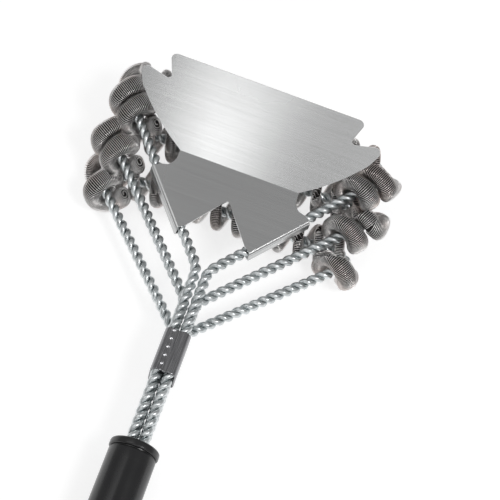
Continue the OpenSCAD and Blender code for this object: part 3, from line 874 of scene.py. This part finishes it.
def build_scraper(material):
    """The bent sheet: half of it laid out flat, triangulated, bent, mirrored and given thickness."""
    outline = scraper_outline()
    points = [Vector(p) for p in outline]
    edges = [(i, (i + 1) % len(outline)) for i in range(len(outline))]
    for row in crease_rows():
        edges.append((len(points), len(points) + 1))
        points += [Vector(p) for p in row]
    flat, _, triangles, _, _, _ = delaunay_2d_cdt(points, edges, [], 1, 1e-5)
    bm = bmesh.new()
    uv = bm.loops.layers.uv.new("UVMap")
    flat_of = {}
    for side in (1, -1):
        vertices = []
        for p in flat:
            place, up = bent_sheet(p.x, p.y)
            for half in (0.5, -0.5):
                at = Vector(place) + Vector(up) * SHEET * half
                vertex = bm.verts.new((at.x * side, at.y, at.z))
                flat_of[vertex] = (p.x * side, p.y)
                vertices.append(vertex)
        rim = {}
        for a, b, c in triangles:
            top = [vertices[2 * i] for i in (a, b, c)]
            bottom = [vertices[2 * i + 1] for i in (c, b, a)]
            bm.faces.new(top)
            bm.faces.new(bottom)
            for i, j in ((a, b), (b, c), (c, a)):
                if (j, i) in rim:
                    del rim[(j, i)]
                else:
                    rim[(i, j)] = True
        for i, j in rim:
            if abs(flat[i].x) < 1e-6 and abs(flat[j].x) < 1e-6:
                continue
            bm.faces.new([vertices[2 * i], vertices[2 * i + 1], vertices[2 * j + 1], vertices[2 * j]])
    for face in bm.faces:
        for loop in face.loops:
            loop[uv].uv = [c / 100 for c in flat_of[loop.vert]]
    bmesh.ops.remove_doubles(bm, verts=bm.verts, dist=1e-4)
    bmesh.ops.recalc_face_normals(bm, faces=bm.faces)
    placed = rest([v.co for v in bm.verts])
    for vertex, at in zip(bm.verts, placed):
        vertex.co = at
    mesh = bpy.data.meshes.new("bent_scraper")
    bm.to_mesh(mesh)
    bm.free()
    mesh.materials.append(material)
    scraper = bpy.data.objects.new("bent_scraper", mesh)
    bpy.context.scene.collection.objects.link(scraper)
    mesh.polygons.foreach_set("use_smooth", [True] * len(mesh.polygons))
    bevel = scraper.modifiers.new("bevel", "BEVEL")
    bevel.width = 0.16 * MM
    bevel.segments = 2
    bevel.limit_method = "ANGLE"
    bevel.angle_limit = math.radians(50)
    scraper.modifiers.new("normals", "WEIGHTED_NORMAL")
    apply_modifiers(scraper)
    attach(scraper, BRUSH)
    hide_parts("scraper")


# ------------------------------------------------------------------ stage, light and camera


def build_floor():
    """A plain white floor just under the brush."""
    material, _, _ = shader("floor_white", Base_Color=(0.45, 0.45, 0.45, 1), Roughness=0.9,
                            Emission_Color=(1, 1, 1, 1), Emission_Strength=0.72)
    mesh = bpy.data.meshes.new("floor")
    half = 4.0
    mesh.from_pydata([(-half, -half, 0), (half, -half, 0), (half, half, 0), (-half, half, 0)],
                     [], [(0, 1, 2, 3)])
    mesh.materials.append(material)
    floor = bpy.data.objects.new("floor", mesh)
    floor.location.z = -0.0003
    bpy.context.scene.collection.objects.link(floor)


def softbox(name, direction, distance, size, radiance):
    """A rectangular light that faces the brush's head from a direction."""
    aim = Vector((0.0, 0.13, 0.02))
    light = bpy.data.lights.new(name, "AREA")
    light.shape = "RECTANGLE"
    light.size, light.size_y = size
    light.energy = radiance * 4 * size[0] * size[1]
    obj = bpy.data.objects.new(name, light)
    away = Vector(direction).normalized()
    obj.location = aim + away * distance
    obj.rotation_euler = away.to_track_quat("Z", "Y").to_euler()
    obj.visible_camera = False
    bpy.context.scene.collection.objects.link(obj)


def build_world(level):
    """Even dim light all round, and plain white behind the brush."""
    world = bpy.data.worlds.new("studio")
    world.use_nodes = True
    tree = world.node_tree
    glow = tree.nodes["Background"]
    glow.inputs["Color"].default_value = (1, 1, 1, 1)
    glow.inputs["Strength"].default_value = level
    backdrop = tree.nodes.new("ShaderNodeBackground")
    backdrop.inputs["Strength"].default_value = 1.0
    backdrop.inputs["Color"].default_value = (1, 1, 1, 1)
    path = tree.nodes.new("ShaderNodeLightPath")
    mix = tree.nodes.new("ShaderNodeMixShader")
    tree.links.new(path.outputs["Is Camera Ray"], mix.inputs["Fac"])
    tree.links.new(glow.outputs["Background"], mix.inputs[1])
    tree.links.new(backdrop.outputs["Background"], mix.inputs[2])
    tree.links.new(mix.outputs["Shader"], tree.nodes["World Output"].inputs["Surface"])
    bpy.context.scene.world = world


def build_camera():
    """Above and behind the handle's front, looking down at the head, rolled so the head leans right."""
    look_down = math.radians(60.03)
    roll = math.radians(19.92)
    heading = math.radians(-0.055)
    ahead = Vector((math.sin(heading) * math.cos(look_down), math.cos(heading) * math.cos(look_down),
                    -math.sin(look_down)))
    right = ahead.cross(Vector((0, 0, 1))).normalized()
    above = right.cross(ahead)
    x_axis = right * math.cos(roll) + above * math.sin(roll)
    y_axis = above * math.cos(roll) - right * math.sin(roll)
    turn = Matrix((x_axis, y_axis, -ahead)).transposed().to_4x4()
    data = bpy.data.cameras.new("camera")
    data.sensor_width = 36
    data.lens = 96.4
    data.clip_start = 0.02
    camera = bpy.data.objects.new("camera", data)
    camera.matrix_world = Matrix.Translation((0.0172, -0.2063, 0.6453)) @ turn
    bpy.context.scene.collection.objects.link(camera)
    bpy.context.scene.camera = camera


# ------------------------------------------------------------------ the brush

build_camera()
build_handle(gloss_black(), grip_black())
build_ropes(rope_steel())
build_loop(loop_wire())
build_ferrule(ferrule_steel())
build_scraper(scraper_steel())
# The coils' second material is painted shade for their insides.
coil_wire, coil_shade = coil_steel(), coil_painted_shade()
for number in range(3):
    build_coil(number, coil_wire, coil_shade)
plastic = core_plastic()
for node in ("handle_core", "rope_plug"):
    frame["nodes"][node].data.materials.clear()
    frame["nodes"][node].data.materials.append(plastic)

build_floor()
build_world(0.38)
softbox("front_wide", (0.3, -0.84, 0.5), 1.5, (0.7, 1.0), 0.3)
softbox("front_narrow", (-0.072, -0.87, 0.5), 1.3, (0.13, 0.9), 1.6)
softbox("key", (0.5, -0.25, 0.83), 1.2, (0.35, 0.35), 9.0)
softbox("top_left", (-0.45, -0.1, 0.9), 1.5, (0.9, 0.9), 0.8)
bpy.context.scene.view_settings.view_transform = "Standard"
